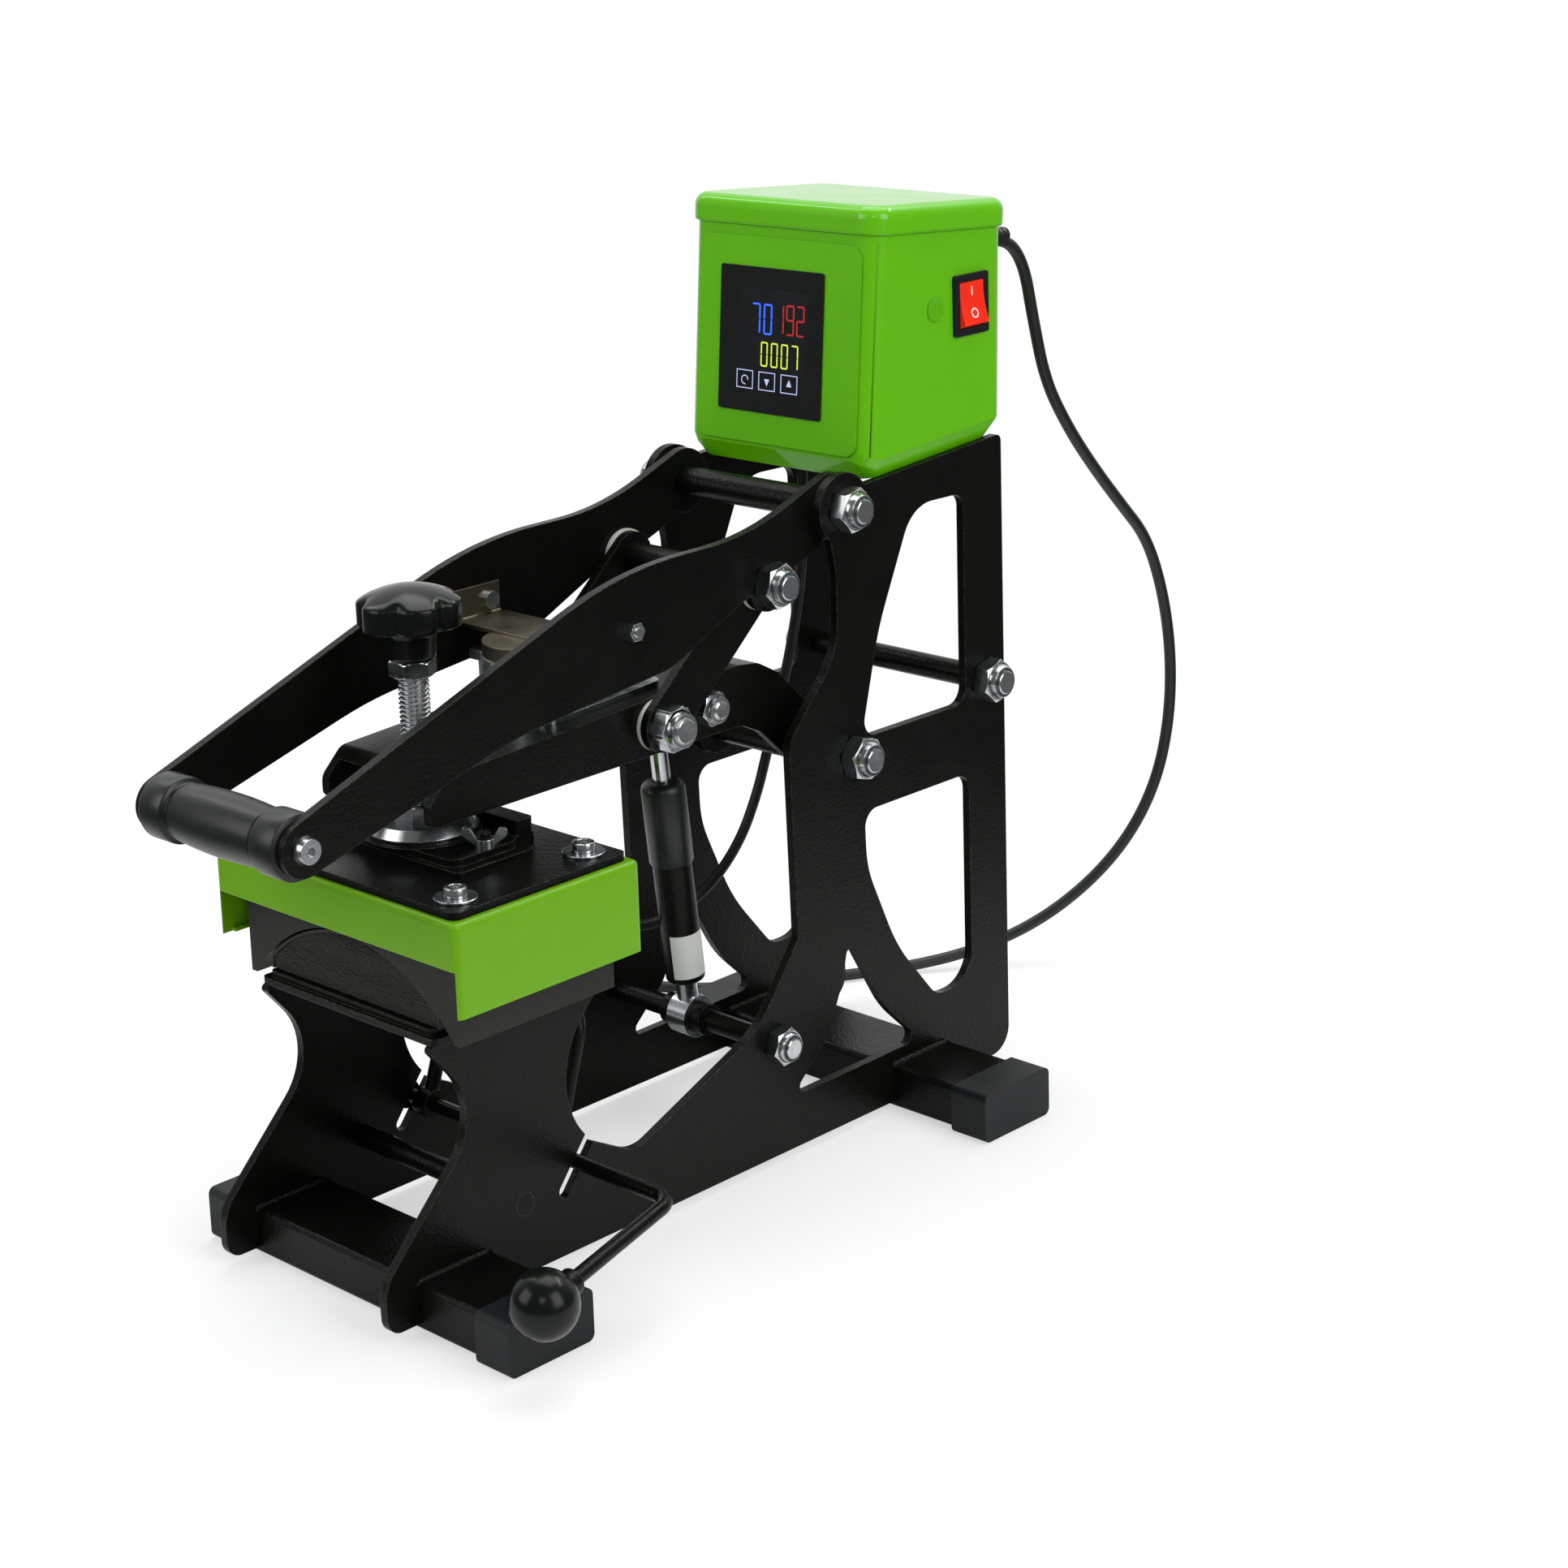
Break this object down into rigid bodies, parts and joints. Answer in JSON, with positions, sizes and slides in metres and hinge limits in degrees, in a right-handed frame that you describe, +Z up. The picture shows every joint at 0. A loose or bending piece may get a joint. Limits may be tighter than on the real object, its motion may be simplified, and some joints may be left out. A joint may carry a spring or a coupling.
{
  "type": "cap heat press",
  "caption": "Lever-operated press with a curved heated block that closes on a domed padded platen to bond transfers onto caps; green control box on a black steel frame.",
  "frame": {"origin": "on the ground under the pivots' mid-plane, at the mid-depth of the four feet", "axes": "+X toward the side with the rocker switch, -Y toward the grip and the user, +Z up"},
  "size_m": [0.4282, 0.7231, 0.5166],
  "materials": {
    "black_powder_coat": "fine textured powder coat, light wear at edges",
    "green_gloss_paint": "glossy bright green enamel",
    "green_satin_paint": "satin bright green enamel",
    "zinc_steel": "bright zinc plating",
    "polished_rod": "polished hard chrome",
    "white_nylon": "natural white nylon",
    "grip_plastic": "satin black moulded plastic",
    "foot_cap_plastic": "matte black plastic",
    "silicone_pad": "dark grey ribbed silicone",
    "heater_grey": "dark grey anodised cast block",
    "display_glass": "black display window with lit digits",
    "rocker_red": "translucent red rocker",
    "cord_black": "black flexible jacket"
  },
  "bodies": {
    "frame": {"side_plate_right": "black_powder_coat", "side_plate_left": "black_powder_coat", "foot_tubes": "black_powder_coat", "foot_caps": "foot_cap_plastic", "tie_rods": "zinc_steel", "frame_shafts": "zinc_steel", "frame_nuts": "zinc_steel", "pivot_washers": "white_nylon", "arm_spacers": "black_powder_coat", "platen_base": "black_powder_coat", "platen_pad": "silicone_pad", "control_box": "green_gloss_paint", "control_lid": "green_gloss_paint", "front_panel": "green_gloss_paint", "display": "display_glass", "rocker_bezel": "foot_cap_plastic", "side_plug": "green_gloss_paint", "cord_gland": "foot_cap_plastic", "mains_cord": "cord_black", "mains_cord_coil": "cord_black", "mains_cord_tail": "cord_black", "mains_plug": "cord_black", "heater_lead_frame": "cord_black"},
    "handle": {"handle_plate_right": "black_powder_coat", "handle_plate_left": "black_powder_coat", "handle_grip": "grip_plastic", "handle_screws": "zinc_steel", "handle_sleeve": "black_powder_coat", "link_shaft": "zinc_steel", "link_shaft_nuts": "zinc_steel", "magnet_keeper": "zinc_steel"},
    "link": {"link_plates": "black_powder_coat", "link_sleeve": "black_powder_coat", "link_washers": "white_nylon", "knee_bolts": "zinc_steel"},
    "arm": {"arm_channel": "black_powder_coat", "arm_pins": "zinc_steel", "arm_pivot_tube": "black_powder_coat", "electromagnet": "zinc_steel", "stop_bolt": "zinc_steel", "screw_bush": "black_powder_coat", "heater_lead_arm": "cord_black"},
    "head": {"screw_flange": "zinc_steel", "head_boss": "black_powder_coat", "mount_plate": "black_powder_coat", "top_plate": "black_powder_coat", "top_plate_bolts": "zinc_steel", "heater_shroud": "green_satin_paint", "heater_block": "heater_grey"},
    "screw": {"pressure_screw": "zinc_steel", "star_knob": "grip_plastic"},
    "wing_right": {"wing_nut_right": "zinc_steel"},
    "wing_left": {"wing_nut_left": "zinc_steel"},
    "strut_tube": {"strut_cylinder": "black_powder_coat", "strut_lower_eye": "zinc_steel"},
    "strut_rod": {"strut_rod": "polished_rod"},
    "lever": {"lever_rod": "black_powder_coat", "ball_knob": "grip_plastic", "hold_down_bail": "black_powder_coat"},
    "rocker": {"rocker_button": "rocker_red"}
  },
  "joints": [
    {"name": "handle_hinge", "type": "hinge", "parent": "frame", "child": "handle", "pos_m": [0, 0.125, 0.3575], "axis": [-1, 0, 0], "range_deg": [0, 60]},
    {"name": "link_hinge", "type": "hinge", "parent": "handle", "child": "link", "pos_m": [0, 0.0745, 0.3245], "axis": [-1, 0, 0], "range_deg": [-80, 0]},
    {"name": "arm_hinge", "type": "hinge", "parent": "frame", "child": "arm", "pos_m": [0, 0.129, 0.217], "axis": [-1, 0, 0], "range_deg": [0, 19.2]},
    {"name": "head_slide", "type": "slide", "parent": "arm", "child": "head", "axis": [0, 0, 1], "range_m": [0, 0.005]},
    {"name": "screw_spin", "type": "hinge", "parent": "head", "child": "screw", "pos_m": [0, -0.127, 0.33], "axis": [0, 0, 1], "range_deg": [0, 900]},
    {"name": "wing_right_spin", "type": "hinge", "parent": "head", "child": "wing_right", "pos_m": [0.046, -0.125, 0.23], "axis": [0, 0, 1], "continuous": true},
    {"name": "wing_left_spin", "type": "hinge", "parent": "head", "child": "wing_left", "pos_m": [-0.046, -0.125, 0.23], "axis": [0, 0, 1], "continuous": true},
    {"name": "strut_hinge", "type": "hinge", "parent": "frame", "child": "strut_tube", "pos_m": [0, 0.06, 0.07], "axis": [-1, 0, 0], "range_deg": [0, 6]},
    {"name": "strut_slide", "type": "slide", "parent": "strut_tube", "child": "strut_rod", "axis": [0, -0.1039, 0.9946], "range_m": [0, 0.0258]},
    {"name": "lever_hinge", "type": "hinge", "parent": "frame", "child": "lever", "pos_m": [0, -0.0915, 0.0525], "axis": [-1, 0, 0], "range_deg": [0, 70]},
    {"name": "rocker_tilt", "type": "hinge", "parent": "frame", "child": "rocker", "pos_m": [0.068, 0.2298, 0.454], "axis": [0, 1, 0], "range_deg": [0, 20]}
  ],
  "couplings": [
    {"joint": "arm_hinge", "follows": "handle_hinge", "ratio": 0.31869},
    {"joint": "link_hinge", "follows": "handle_hinge", "ratio": -1.3218},
    {"joint": "strut_hinge", "follows": "handle_hinge", "ratio": 0.09713},
    {"joint": "strut_slide", "follows": "handle_hinge", "m_per_rad": 0.024501},
    {"joint": "screw_spin", "follows": "head_slide", "rad_per_m": 3141.6}
  ]
}
